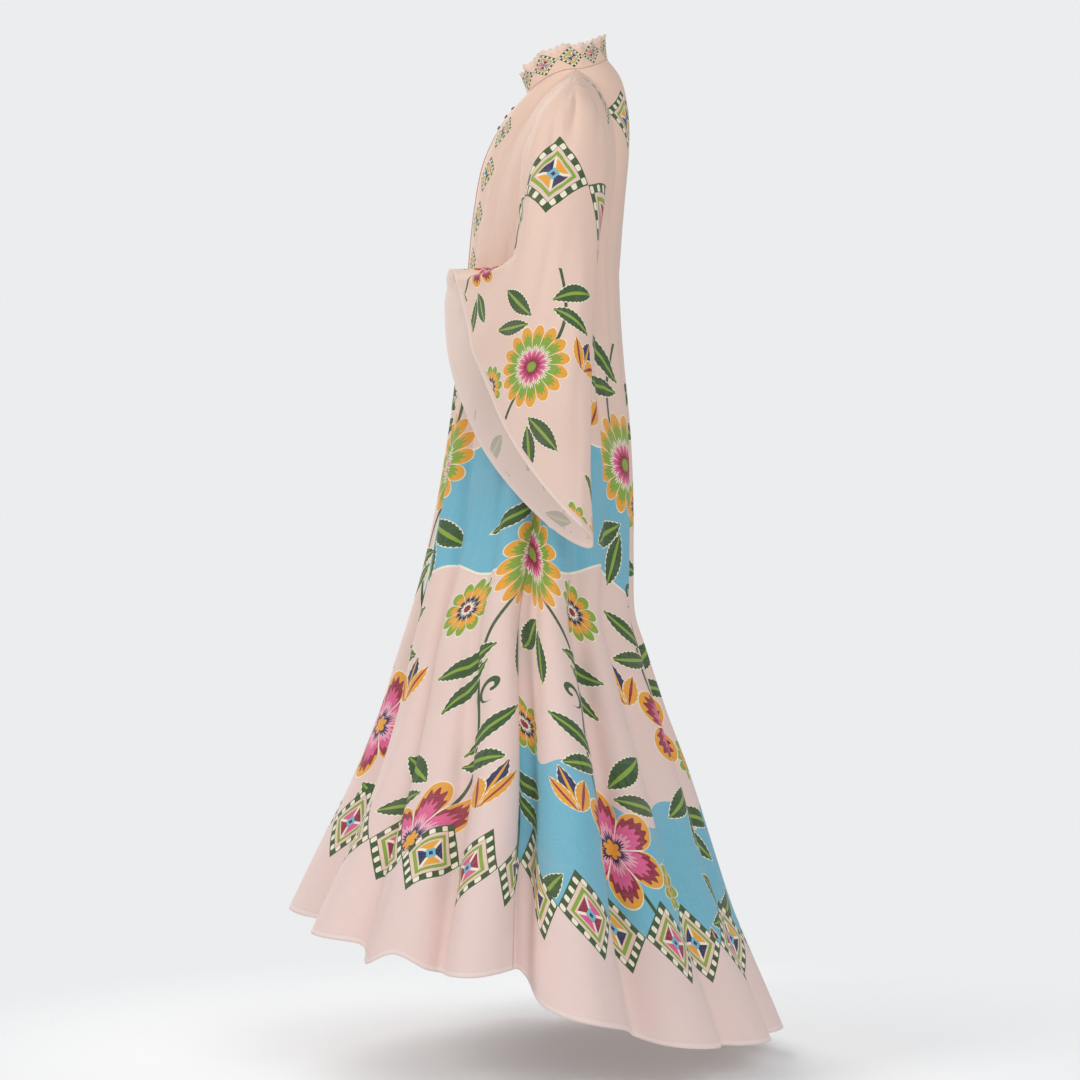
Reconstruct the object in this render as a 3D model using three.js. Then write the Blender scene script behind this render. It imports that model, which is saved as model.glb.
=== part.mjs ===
// A worn maxi dress in printed linen. It is a loose trapeze body cut in two fronts and a back, with two set-in
// bell sleeves, a frilled stand collar that is open at the centre front, and a narrow buttoned placket below it.
// Every piece is a thin wall of cloth: each panel is a surface worked out from its sizes, given a thickness.
import * as THREE from "three";

// Sizes are in millimetres. +Z is up, the front faces -Y and the wearer's left side is +X.
// The origin is the middle of the neck, level with the inner ends of the shoulder seams.
const CLOTH = 2;
const SEAM_GAP = 0.3;
const DEG = Math.PI / 180;

// The neckline is an oval that rises from the front to the nape.
const NECK = { halfWidth: 62, front: -68, back: 46, frontZ: -36, sideZ: -8, backZ: 14 };

// Level sections of the body: where its front and back lie on the centre line, and half its width.
const SECTIONS = [
  { z: -160, front: -136, back: 70, halfWidth: 166 },
  { z: -220, front: -144, back: 64, halfWidth: 168 },
  { z: -290, front: -152, back: 62, halfWidth: 168 },
  { z: -400, front: -166, back: 68, halfWidth: 177 },
  { z: -500, front: -178, back: 76, halfWidth: 190 },
  { z: -600, front: -193, back: 79, halfWidth: 206 },
  { z: -700, front: -212, back: 78, halfWidth: 227 },
  { z: -770, front: -230, back: 79, halfWidth: 246 },
  { z: -820, front: -245, back: 94, halfWidth: 261 },
  { z: -900, front: -268, back: 120, halfWidth: 288 },
  { z: -1000, front: -306, back: 155, halfWidth: 323 },
  { z: -1100, front: -354, back: 186, halfWidth: 354 },
  { z: -1200, front: -400, back: 216, halfWidth: 382 },
  { z: -1330, front: -458, back: 264, halfWidth: 412 },
  { z: -1420, front: -496, back: 298, halfWidth: 430 },
];

// The hem rises at the front, where the skirt is kicked forward, and trails at the back.
// Angles go round the body in degrees: 0 is the centre front, 90 the left side, 180 the centre back.
const HEM = [
  { angle: 0, z: -1176 },
  { angle: 12, z: -1180 },
  { angle: 46, z: -1200 },
  { angle: 56, z: -1224 },
  { angle: 63, z: -1206 },
  { angle: 70, z: -1226 },
  { angle: 82, z: -1228 },
  { angle: 93, z: -1224 },
  { angle: 100, z: -1266 },
  { angle: 112, z: -1298 },
  { angle: 132, z: -1334 },
  { angle: 150, z: -1348 },
  { angle: 180, z: -1360 },
  { angle: 210, z: -1346 },
  { angle: 250, z: -1306 },
  { angle: 285, z: -1240 },
  { angle: 325, z: -1190 },
];

// The hanging folds. Each has a ridge at an angle round the hem, and stands out by height there.
// It starts at a level and swings sideways by drift degrees between its start and the hem.
// A low growth opens a fold soon below its start, and a high one leaves most of it to the hem.
const FOLDS = [
  { ridge: 12, height: 26, start: -430, drift: -2, growth: 1.2 },
  { ridge: 39, height: 46, start: -120, drift: 6, growth: 0.75 },
  { ridge: 63, height: 22, start: -560, drift: 2, growth: 1.1 },
  { ridge: 82, height: 50, start: -330, drift: 3, growth: 1.2 },
  { ridge: 108, height: 58, start: -420, drift: 2, growth: 1.0 },
  { ridge: 134, height: 34, start: -300, drift: 8, growth: 1.3 },
  { ridge: 158, height: 30, start: -220, drift: 4, growth: 0.9 },
  { ridge: 183, height: 38, start: -360, drift: 2, growth: 1.4 },
  { ridge: 207, height: 34, start: -240, drift: -3, growth: 1.0 },
  { ridge: 231, height: 44, start: -380, drift: -4, growth: 1.2 },
  { ridge: 254, height: 36, start: -300, drift: -3, growth: 1.1 },
  { ridge: 276, height: 48, start: -420, drift: 0, growth: 1.2 },
  { ridge: 300, height: 34, start: -330, drift: 2, growth: 1.1 },
  { ridge: 322, height: 44, start: -140, drift: -5, growth: 0.8 },
  { ridge: 345, height: 30, start: -420, drift: 3, growth: 1.3 },
];
const FOLD_MIDDLE = 0.42; // the share of a fold's height that lies inside the plain section
const FOLD_SQUEEZE = 0.08; // how far a fold's sides lean in towards its valley, as a share of its width

// Lines down the centre of the upper part, from the neckline to the level of the first full section.
const CENTRE_FRONT = [
  [0, -68, -36],
  [0, -98, -71],
  [0, -128, -128],
  [0, -142, -196],
  [0, -152, -290],
];
const CENTRE_BACK = [
  [0, 46, 14],
  [0, 64, -12],
  [0, 74, -58],
  [0, 75, -110],
  [0, 69, -190],
  [0, 62, -290],
];
const UNDERARM_Z = -220;
const CENTRE_DROP = 70; // how far the upper part's lower edge falls from the underarm to the centre
const NECK_SHARE = 0.4; // the share of a panel's top edge that is neckline; the rest is shoulder seam

// Four lines drawn along the left sleeve, from the armhole to the edge of its bell. The outer line starts at the
// tip of the shoulder and the inner one at the underarm. The front line runs over the crook of the elbow to the
// wrist, and the back line falls past the elbow to the sleeve's lowest point.
const SLEEVE_LINES = [
  { outer: [184, -8, -46], front: [150, -62, -130], inner: [168, -40, -220], back: [152, 30, -130] },
  { outer: [230, -16, -76], front: [192, -72, -150], inner: [181, -41, -236], back: [198, 40, -148] },
  { outer: [266, -24, -130], front: [226, -78, -192], inner: [192, -48, -256], back: [234, 38, -200] },
  { outer: [293, -36, -200], front: [243, -80, -240], inner: [202, -63, -286], back: [262, 28, -272] },
  { outer: [308, -52, -282], front: [238, -86, -278], inner: [210, -80, -330], back: [282, 21, -352] },
  { outer: [307, -70, -362], front: [205, -106, -293], inner: [208, -102, -384], back: [296, 15, -450] },
  { outer: [292, -88, -436], front: [158, -138, -295], inner: [196, -126, -438], back: [302, 13, -560] },
  { outer: [272, -104, -508], front: [105, -174, -291], inner: [178, -150, -490], back: [302, 15, -664] },
];
const SLEEVE_WAVES = [
  { angle: 222, height: 54, width: 30 },
  { angle: 250, height: 12, width: 20 },
  { angle: 135, height: -20, width: 26 },
  { angle: 20, height: 7, width: 20 },
  { angle: 318, height: 8, width: 20 },
];
const CROOK = { station: 0.56, reach: 0.1, angle: 96, spread: 46, depth: 18 };

// The stand collar and the frill along its upper edge.
const COLLAR = { height: 34, flare: 2, lean: -7, frill: 3, waves: 15, opening: 9, frontDip: 5 };
const PLACKET = { columns: 1, rows: 10, thickness: 1.2 };
const BUTTON = { radius: 3.2, halfThickness: 1.3, places: [0.15, 0.23, 0.31] };

// How finely each piece is divided.
const UPPER_ROWS = 8;
const SKIRT_ROWS = 12;
const PANEL_COLUMNS = 24;
const SLEEVE_ROWS = 12;
const SLEEVE_COLUMNS = 32;
const COLLAR_ROWS = 3;
const COLLAR_COLUMNS = 64;

const clamp = (value, low, high) => Math.min(high, Math.max(low, value));
const mix = (a, b, t) => a + (b - a) * t;
const line = (points) => new THREE.CatmullRomCurve3(points.map((p) => new THREE.Vector3(...p)));
const centreFront = line(CENTRE_FRONT);
const centreBack = line(CENTRE_BACK);

// A smooth curve through a table's rows: key is the column that is looked up and value the one that is read.
function lookUp(rows, key, value, at) {
  let i = rows.findIndex((row, n) => n > 0 && (row[key] - at) * (rows[n - 1][key] - at) <= 0);
  if (i < 0) i = Math.abs(at - rows[0][key]) < Math.abs(at - rows.at(-1)[key]) ? 1 : rows.length - 1;
  const [p0, p1, p2, p3] = [rows[Math.max(i - 2, 0)], rows[i - 1], rows[i], rows[Math.min(i + 1, rows.length - 1)]];
  const t = (at - p1[key]) / (p2[key] - p1[key]);
  const span = p2[key] - p1[key];
  const slope1 = ((p2[value] - p0[value]) / (p2[key] - p0[key])) * span;
  const slope2 = ((p3[value] - p1[value]) / (p3[key] - p1[key])) * span;
  const t2 = t * t;
  const t3 = t2 * t;
  return (
    (2 * t3 - 3 * t2 + 1) * p1[value] +
    (t3 - 2 * t2 + t) * slope1 +
    (-2 * t3 + 3 * t2) * p2[value] +
    (t3 - t2) * slope2
  );
}

function section(z) {
  const front = lookUp(SECTIONS, "z", "front", z);
  const back = lookUp(SECTIONS, "z", "back", z);
  return { middle: (front + back) / 2, halfDepth: (back - front) / 2, halfWidth: lookUp(SECTIONS, "z", "halfWidth", z) };
}

// The hem's table again on each side of itself, so that it can be looked up all the way round.
const HEM_ROUND = [-360, 0, 360].flatMap((turn) => HEM.map((row) => ({ angle: row.angle + turn, z: row.z })));
const hemLevel = (angle) => lookUp(HEM_ROUND, "angle", "z", angle);

// How far a fold has opened at a level, from 0 at its start to 1 at the hem.
const opened = (fold, z, hem) => clamp((fold.start - z) / (fold.start - hem), 0, 1) ** fold.growth;

// The folds' push outwards and sideways at an angle and a level.
function foldPush(angle, z) {
  const hem = hemLevel(angle);
  const turned = ((angle % 360) + 360) % 360;
  const ridges = FOLDS.map((fold) => {
    const open = opened(fold, z, hem);
    return { at: fold.ridge + fold.drift * (open - 1), height: fold.height * open };
  });
  const next = ridges.findIndex((ridge) => ridge.at > turned);
  const after = next < 0 ? { ...ridges[0], at: ridges[0].at + 360 } : ridges[next];
  const before = next === 0 ? { ...ridges.at(-1), at: ridges.at(-1).at - 360 } : ridges.at(next < 0 ? -1 : next - 1);
  const share = (turned - before.at) / (after.at - before.at);
  const height = mix(before.height, after.height, share * share * (3 - 2 * share));
  const wave = 0.5 + 0.5 * Math.cos(2 * Math.PI * share);
  const opening = Math.min(1, height / 30);
  return {
    out: height * (wave - FOLD_MIDDLE),
    along: (after.at - before.at) * FOLD_SQUEEZE * Math.sin(2 * Math.PI * share) * opening,
  };
}

// A point of the body's level section, with its folds.
function skirtPoint(angle, z) {
  const { middle, halfDepth, halfWidth } = section(z);
  const push = foldPush(angle, z);
  const a = (angle + push.along) * DEG;
  const outward = new THREE.Vector2(Math.sin(a) / halfWidth, -Math.cos(a) / halfDepth).normalize();
  return new THREE.Vector3(
    halfWidth * Math.sin(a) + outward.x * push.out,
    middle - halfDepth * Math.cos(a) + outward.y * push.out,
    z,
  );
}

// A ring through four points: at 0 degrees the outer one, then front, inner and back, a quarter turn apart.
function ringPoint(outer, front, inner, back, angle) {
  const a = angle * DEG;
  const share = (o, f, i, b) =>
    (o + f + i + b) / 4 +
    ((o - i) / 2) * Math.cos(a) +
    ((f - b) / 2) * Math.sin(a) +
    ((o + i - f - b) / 4) * Math.cos(2 * a);
  return new THREE.Vector3(
    share(outer.x, front.x, inner.x, back.x),
    share(outer.y, front.y, inner.y, back.y),
    share(outer.z, front.z, inner.z, back.z),
  );
}

const sleeveLine = (name) => line(SLEEVE_LINES.map((row) => row[name]));
const sleeveOuter = sleeveLine("outer");
const sleeveFront = sleeveLine("front");
const sleeveInner = sleeveLine("inner");
const sleeveBack = sleeveLine("back");
const armholePoint = (angle) =>
  ringPoint(sleeveOuter.points[0], sleeveFront.points[0], sleeveInner.points[0], sleeveBack.points[0], angle);

// The neckline at an angle round the neck.
function neckPoint(angle) {
  const forward = Math.cos(angle * DEG);
  const reach = forward > 0 ? NECK.front : -NECK.back;
  const level = forward > 0 ? NECK.frontZ : NECK.backZ;
  return new THREE.Vector3(
    NECK.halfWidth * Math.sin(angle * DEG),
    reach * forward,
    mix(NECK.sideZ, level, forward * forward),
  );
}

// A panel's own coordinates: across is 0 on the centre line and 1 at the side; down is 0 at the top edge, 1 at the
// foot of the upper part and 2 at the hem.
function panelAngle(panel, across) {
  const quarter = panel.isFront ? 90 * across : 180 - 90 * across;
  return panel.isLeft ? quarter : 360 - quarter;
}

function topEdge(panel, across) {
  const quarter = 90 * Math.min(across / NECK_SHARE, 1);
  const onNeck = neckPoint(panel.isFront ? quarter : 180 - quarter);
  const alongShoulder = clamp((across - NECK_SHARE) / (1 - NECK_SHARE), 0, 1);
  return onNeck.lerp(armholePoint(0), alongShoulder);
}

const upperFoot = (angle) => UNDERARM_Z - CENTRE_DROP * Math.abs(Math.cos(angle * DEG));

// The upper part fills the space between the top edge, the centre line, the armhole and the first full section.
function upperPoint(panel, across, down) {
  const u = Math.min(Math.abs(across), 1);
  const quarter = panel.isFront ? 90 * u : 180 - 90 * u;
  const top = topEdge(panel, u);
  const foot = skirtPoint(quarter, upperFoot(quarter));
  const footCentre = skirtPoint(panel.isFront ? 0 : 180, upperFoot(0));
  const footSide = skirtPoint(90, UNDERARM_Z);
  const centre = (panel.isFront ? centreFront : centreBack).getPoint(down);
  const side = armholePoint((panel.isFront ? 180 : -180) * down);
  const point = new THREE.Vector3();
  const add = (p, weight) => point.addScaledVector(p, weight);
  add(top, 1 - down);
  add(foot, down);
  add(centre, 1 - u);
  add(side, u);
  add(topEdge(panel, 0), -(1 - u) * (1 - down));
  add(armholePoint(0), -u * (1 - down));
  add(footCentre, -(1 - u) * down);
  add(footSide, -u * down);
  if (panel.isLeft !== across >= 0) point.x = -point.x;
  return point;
}

function panelPoint(panel, across, down) {
  if (down < 1) return upperPoint(panel, across, Math.max(down, 0));
  const angle = panelAngle(panel, across);
  return skirtPoint(angle, mix(upperFoot(angle), hemLevel(angle), Math.min(down - 1, 1)));
}

// The outward direction of a surface, from two short steps across and two down.
function facing(surface, across, down, step = 0.002) {
  const acrossStep = surface(across + step, down).sub(surface(across - step, down));
  const downStep = surface(across, down + step).sub(surface(across, down - step));
  return acrossStep.cross(downStep).normalize();
}

function panelFacing(panel, across, down) {
  const turn = panel.isLeft === panel.isFront ? -1 : 1;
  const own = (one) => {
    const sign = one.isLeft === one.isFront ? -1 : 1;
    return facing((u, v) => panelPoint(one, u, v), across, down).multiplyScalar(sign);
  };
  if (down > 0 || across < NECK_SHARE) return facing((u, v) => panelPoint(panel, u, v), across, down).multiplyScalar(turn);
  return own(panel).add(own({ isLeft: panel.isLeft, isFront: !panel.isFront })).normalize();
}

// A closed wall between two grids of points. Each grid is a list of rows. A wall that goes right round has no ends.
function wallGeometry(outer, inner, goesRound) {
  const rows = outer.length;
  const columns = outer[0].length;
  const positions = [...outer.flat(), ...inner.flat()].flatMap((p) => [p.x, p.y, p.z]);
  const at = (layer, row, column) => layer * rows * columns + row * columns + (column % columns);
  const faces = [];
  const quad = (a, b, c, d) => faces.push(a, b, c, a, c, d);
  const steps = goesRound ? columns : columns - 1;
  for (let row = 0; row < rows - 1; row++)
    for (let column = 0; column < steps; column++) {
      quad(at(0, row, column), at(0, row + 1, column), at(0, row + 1, column + 1), at(0, row, column + 1));
      quad(at(1, row, column), at(1, row, column + 1), at(1, row + 1, column + 1), at(1, row + 1, column));
    }
  for (let column = 0; column < steps; column++) {
    quad(at(0, 0, column), at(0, 0, column + 1), at(1, 0, column + 1), at(1, 0, column));
    const last = rows - 1;
    quad(at(0, last, column), at(1, last, column), at(1, last, column + 1), at(0, last, column + 1));
  }
  for (let row = 0; !goesRound && row < rows - 1; row++) {
    quad(at(0, row, 0), at(1, row, 0), at(1, row + 1, 0), at(0, row + 1, 0));
    quad(at(0, row, steps), at(0, row + 1, steps), at(1, row + 1, steps), at(1, row, steps));
  }
  const geometry = new THREE.BufferGeometry();
  geometry.setAttribute("position", new THREE.Float32BufferAttribute(positions, 3));
  geometry.setIndex(faces);
  return volumeOf(positions, faces) < 0 ? turnedRound(geometry) : geometry;
}

function volumeOf(positions, faces) {
  const corner = (i) => new THREE.Vector3().fromArray(positions, 3 * i);
  let total = 0;
  for (let i = 0; i < faces.length; i += 3)
    total += corner(faces[i]).dot(corner(faces[i + 1]).cross(corner(faces[i + 2])));
  return total / 6;
}

function turnedRound(geometry) {
  const faces = Array.from(geometry.index.array);
  for (let i = 0; i < faces.length; i += 3) [faces[i + 1], faces[i + 2]] = [faces[i + 2], faces[i + 1]];
  geometry.setIndex(faces);
  return geometry;
}

const dress = new THREE.Group();
const linen = (colour) => new THREE.MeshStandardMaterial({ color: colour, roughness: 0.85, metalness: 0 });

function addPiece(name, geometry, colour) {
  const mesh = new THREE.Mesh(geometry, linen(colour));
  mesh.name = name;
  dress.add(mesh);
}

// The rows of a panel: the upper part's are even, and the skirt's are even from there to the hem.
const PANEL_ROWS = [
  ...Array.from({ length: UPPER_ROWS }, (_, i) => i / UPPER_ROWS),
  ...Array.from({ length: SKIRT_ROWS + 1 }, (_, i) => 1 + i / SKIRT_ROWS),
];

// A panel's edge moves back by half the seam's gap from the side seam, the shoulder seam and a front's centre.
function seamShift(panel, across, down) {
  const point = (u, v) => panelPoint(panel, u, v);
  const shift = new THREE.Vector3();
  const step = 0.01;
  const towards = (from, to) => to.sub(from).setLength(SEAM_GAP / 2);
  if (across === 0 && panel.isFront) shift.add(towards(point(0, down), point(step, down)));
  if (across === 1) shift.add(towards(point(1, down), point(1 - step, down)));
  if (down === 0 && across >= NECK_SHARE) shift.add(towards(point(across, 0), point(across, step)));
  return shift;
}

// A piece of the body is built from one half panel or two. Two halves meet on the centre line without a seam.
function addBody(name, halves, colour) {
  const places = halves.flatMap((panel, half) => {
    const shares = Array.from({ length: PANEL_COLUMNS + 1 }, (_, i) => i / PANEL_COLUMNS);
    const ordered = half === 0 && halves.length > 1 ? shares.reverse().slice(0, -1) : shares;
    return ordered.map((across) => ({ panel, across }));
  });
  const outer = [];
  const inner = [];
  for (const down of PANEL_ROWS) {
    const points = places.map(({ panel, across }) => panelPoint(panel, across, down).add(seamShift(panel, across, down)));
    outer.push(points);
    inner.push(
      places.map(({ panel, across }, i) => {
        const direction = panelFacing(panel, across, down);
        const sideways = panel.isLeft ? direction.x : -direction.x;
        if (across === 1 && down <= 1 && sideways < 0) direction.setX(0).normalize();
        return points[i].clone().addScaledVector(direction, -CLOTH);
      }),
    );
  }
  addPiece(name, wallGeometry(outer, inner, false), colour);
}

// The armhole as the panels' edges draw it, in straight steps from row to row.
function armholeEdge(angle) {
  const step = 180 / UPPER_ROWS;
  const from = Math.floor(angle / step + 1e-9) * step;
  return armholePoint(from).lerp(armholePoint(from + step), (angle - from) / step);
}

function bump(distance, width) {
  const wrapped = ((distance + 540) % 360) - 180;
  return Math.exp(-((wrapped / width) ** 2));
}

// A point of the left sleeve: angle goes round it and along is 0 at the armhole and 1 at the bell's edge.
function sleevePoint(angle, along) {
  const t = clamp(along, 0, 1);
  const [outer, front, inner, back] = [sleeveOuter, sleeveFront, sleeveInner, sleeveBack].map((l) => l.getPoint(t));
  const point = ringPoint(outer, front, inner, back, angle);
  const middle = outer.clone().add(inner).multiplyScalar(0.5);
  const away = point.clone().sub(middle).normalize();
  const open = t ** 3;
  const wave = SLEEVE_WAVES.reduce((sum, w) => sum + w.height * bump(angle - w.angle, w.width), 0);
  const crook = CROOK.depth * Math.exp(-(((t - CROOK.station) / CROOK.reach) ** 2)) * bump(angle - CROOK.angle, CROOK.spread);
  return point.addScaledVector(away, wave * open - crook);
}

function addSleeve(name, sideSign, colour) {
  const outer = [];
  const inner = [];
  for (let row = 0; row <= SLEEVE_ROWS; row++) {
    const along = row / SLEEVE_ROWS;
    const outerRow = [];
    const innerRow = [];
    for (let column = 0; column < SLEEVE_COLUMNS; column++) {
      const angle = (column * 360) / SLEEVE_COLUMNS;
      const point = row === 0 ? armholeEdge(angle) : sleevePoint(angle, along);
      const direction = facing((a, t) => sleevePoint(a * 360, t), angle / 360, Math.max(along, 0.003)).negate();
      if (row === 0) {
        point.x += 2 * SEAM_GAP;
        direction.setX(0).normalize();
      }
      outerRow.push(point);
      innerRow.push(point.clone().addScaledVector(direction, -CLOTH));
    }
    outer.push(outerRow);
    inner.push(innerRow);
  }
  for (const point of [...outer.flat(), ...inner.flat()]) point.x *= sideSign;
  addPiece(name, wallGeometry(outer, inner, true), colour);
}

// A point of the collar: angle goes round the neck and up is 0 at the neck seam and 1 at the frilled edge.
function collarPoint(angle, up) {
  const base = neckPoint(angle);
  const outward = new THREE.Vector3(Math.sin(angle * DEG), -Math.cos(angle * DEG), 0);
  const frill = COLLAR.frill * up * up * Math.sin(COLLAR.waves * angle * DEG + 1.2 * Math.sin(3 * angle * DEG));
  const frontDip = COLLAR.frontDip * up * bump(angle, 25);
  const rise = COLLAR.height * up - frontDip + 0.25 * frill;
  return base
    .addScaledVector(outward, COLLAR.flare * up * up + frill)
    .add(new THREE.Vector3(0, COLLAR.lean * up, rise + 1.5 * SEAM_GAP));
}

function addCollar(name, colour) {
  const outer = [];
  const inner = [];
  const halfOpening = COLLAR.opening / 2 / (NECK.halfWidth * DEG);
  for (let row = 0; row <= COLLAR_ROWS; row++) {
    const up = row / COLLAR_ROWS;
    const outerRow = [];
    const innerRow = [];
    for (let column = 0; column <= COLLAR_COLUMNS; column++) {
      const angle = mix(halfOpening, 360 - halfOpening, column / COLLAR_COLUMNS);
      const point = collarPoint(angle, up);
      const direction = facing((a, t) => collarPoint(a * 360, t), angle / 360, up, 0.001);
      if (row === 0) direction.setZ(0).normalize();
      outerRow.push(point);
      innerRow.push(point.clone().addScaledVector(direction, -CLOTH));
    }
    outer.push(outerRow);
    inner.push(innerRow);
  }
  addPiece(name, wallGeometry(outer, inner, false), colour);
}

// The placket lies on both front panels, on their own rows and columns.
function addPlacket(name, colour) {
  const front = { isLeft: true, isFront: true };
  const outer = [];
  const inner = [];
  for (let row = 0; row < PLACKET.rows; row++) {
    const down = row === 0 ? 0.03 : PANEL_ROWS[row];
    const outerRow = [];
    const innerRow = [];
    for (let column = -PLACKET.columns; column <= PLACKET.columns; column++) {
      const across = column / PANEL_COLUMNS;
      const point = panelPoint(front, across, down);
      const direction = panelFacing(front, across, down);
      innerRow.push(point.clone().addScaledVector(direction, 1.5 * SEAM_GAP));
      outerRow.push(point.clone().addScaledVector(direction, 1.5 * SEAM_GAP + PLACKET.thickness));
    }
    outer.push(outerRow);
    inner.push(innerRow);
  }
  addPiece(name, wallGeometry(outer, inner, false), colour);
}

// A small domed button on the placket.
function addButton(name, down, colour) {
  const front = { isLeft: true, isFront: true };
  const direction = panelFacing(front, 0, down);
  const lift = 2.5 * SEAM_GAP + PLACKET.thickness + BUTTON.halfThickness;
  const at = panelPoint(front, 0, down).addScaledVector(direction, lift);
  const turn = new THREE.Quaternion().setFromUnitVectors(new THREE.Vector3(0, 0, 1), direction);
  const geometry = new THREE.SphereGeometry(BUTTON.radius, 14, 8)
    .rotateX(Math.PI / 2)
    .scale(1, 1, BUTTON.halfThickness / BUTTON.radius)
    .applyQuaternion(turn)
    .translate(at.x, at.y, at.z);
  addPiece(name, geometry, colour);
}

const GROUND = 0xe9cfc4;
addBody("front_left", [{ isLeft: true, isFront: true }], GROUND);
addBody("front_right", [{ isLeft: false, isFront: true }], GROUND);
addBody("back", [{ isLeft: false, isFront: false }, { isLeft: true, isFront: false }], GROUND);
addSleeve("sleeve_left", 1, GROUND);
addSleeve("sleeve_right", -1, GROUND);
addCollar("collar", 0xecd6c6);
addPlacket("front_placket", 0xecd6c6);
BUTTON.places.forEach((down, i) => addButton("button_" + (i + 1), down, 0x2b2a33));

export default dress;
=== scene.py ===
"""A worn maxi dress in printed linen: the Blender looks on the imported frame."""
# Camera, light and floor
# The camera looks at the dress's left side, level with its middle. The lights are large and soft. Colours are
# shown as they are, with no film curve over them.
import math

import bmesh
import bpy
import numpy as np
from mathutils import Matrix, Vector


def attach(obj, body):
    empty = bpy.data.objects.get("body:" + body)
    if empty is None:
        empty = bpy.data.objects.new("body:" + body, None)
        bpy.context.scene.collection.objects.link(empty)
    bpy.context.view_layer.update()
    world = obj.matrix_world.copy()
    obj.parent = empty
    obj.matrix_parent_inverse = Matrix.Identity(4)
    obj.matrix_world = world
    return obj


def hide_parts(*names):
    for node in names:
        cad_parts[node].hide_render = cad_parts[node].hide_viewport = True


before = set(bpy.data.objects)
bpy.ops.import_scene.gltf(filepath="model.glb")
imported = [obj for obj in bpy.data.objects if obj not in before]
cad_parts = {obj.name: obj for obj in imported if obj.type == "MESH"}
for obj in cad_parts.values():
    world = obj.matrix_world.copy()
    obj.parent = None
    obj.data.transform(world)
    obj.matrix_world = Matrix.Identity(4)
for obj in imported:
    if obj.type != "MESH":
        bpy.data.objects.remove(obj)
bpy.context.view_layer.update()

camera = bpy.data.objects.new("camera", bpy.data.cameras.new("camera"))
bpy.context.scene.collection.objects.link(camera)
camera.location = (4.2, -0.05, -0.667)
camera.rotation_euler = (math.radians(90), 0, math.radians(90))
camera.data.lens = 98.6
camera.data.sensor_width = 36
camera.data.clip_end = 200
bpy.context.scene.camera = camera
bpy.context.scene.view_settings.view_transform = "Standard"

FLOOR_LEVEL, FLOOR_RADIUS = -1.395, 3


def colour(red, green, blue):
    """An sRGB colour, 0 to 255, as the linear one that shaders take."""
    parts = [c / 255 for c in (red, green, blue)]
    return tuple(c / 12.92 if c <= 0.04045 else ((c + 0.055) / 1.055) ** 2.4 for c in parts) + (1.0,)


def area_light(name, place, target, size, power, tint):
    light = bpy.data.lights.new(name, "AREA")
    light.shape = "DISK"
    light.size = size
    light.energy = power
    light.color = tint
    lamp = bpy.data.objects.new(name, light)
    lamp.location = place
    lamp.rotation_euler = (Vector(target) - Vector(place)).to_track_quat("-Z", "Y").to_euler()
    bpy.context.scene.collection.objects.link(lamp)


area_light("key", (2.2, -3.4, 1.3), (0, -0.1, -0.6), 1.5, 66, (1.0, 0.985, 0.96))
area_light("fill", (3.6, 1.6, 0.8), (0, 0, -0.7), 2.6, 52, (0.97, 0.98, 1.0))
area_light("far_side", (-3.4, -1.4, 1.4), (0, 0, -0.7), 2.4, 84, (1.0, 1.0, 1.0))

world = bpy.data.worlds.new("studio")
bpy.context.scene.world = world
world.use_nodes = True
world.node_tree.nodes["Background"].inputs["Color"].default_value = colour(236, 237, 238)
# The backdrop is lit more brightly than the dress.
world_rays = world.node_tree.nodes.new("ShaderNodeLightPath")
world_strength = world.node_tree.nodes.new("ShaderNodeMapRange")
world_strength.inputs["To Min"].default_value = 0.56
world_strength.inputs["To Max"].default_value = 1.0
world.node_tree.links.new(world_rays.outputs["Is Camera Ray"], world_strength.inputs["Value"])
world.node_tree.links.new(world_strength.outputs[0], world.node_tree.nodes["Background"].inputs["Strength"])

floor_mesh = bpy.data.meshes.new("floor")
floor_shape = bmesh.new()
bmesh.ops.create_circle(floor_shape, cap_ends=True, segments=96, radius=FLOOR_RADIUS)
floor_shape.to_mesh(floor_mesh)
floor_shape.free()
floor_mesh.transform(Matrix.Translation((0, 0, FLOOR_LEVEL)))
floor = bpy.data.objects.new("floor", floor_mesh)
bpy.context.scene.collection.objects.link(floor)

# The form of the dress
# The tables and curves that the solids are made from, in millimetres. The same things have the same names.
MM = 0.001
# Columns: level, front, back, half width.
SECTIONS = np.array([
    [-160, -136, 70, 166],
    [-220, -144, 64, 168],
    [-290, -152, 62, 168],
    [-400, -166, 68, 177],
    [-500, -178, 76, 190],
    [-600, -193, 79, 206],
    [-700, -212, 78, 227],
    [-770, -230, 79, 246],
    [-820, -245, 94, 261],
    [-900, -268, 120, 288],
    [-1000, -306, 155, 323],
    [-1100, -354, 186, 354],
    [-1200, -400, 216, 382],
    [-1330, -458, 264, 412],
    [-1420, -496, 298, 430],
], float)
# Columns: angle round the body from the centre front, level of the hem.
HEM = np.array([
    [0, -1176], [12, -1180], [46, -1200], [56, -1224], [63, -1206], [70, -1226], [82, -1228], [93, -1224],
    [100, -1266], [112, -1298], [132, -1334], [150, -1348], [180, -1360], [210, -1346], [250, -1306],
    [285, -1240], [325, -1190],
], float)
HEM_ROUND = np.concatenate([HEM + [turn, 0] for turn in (-360, 0, 360)])
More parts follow.
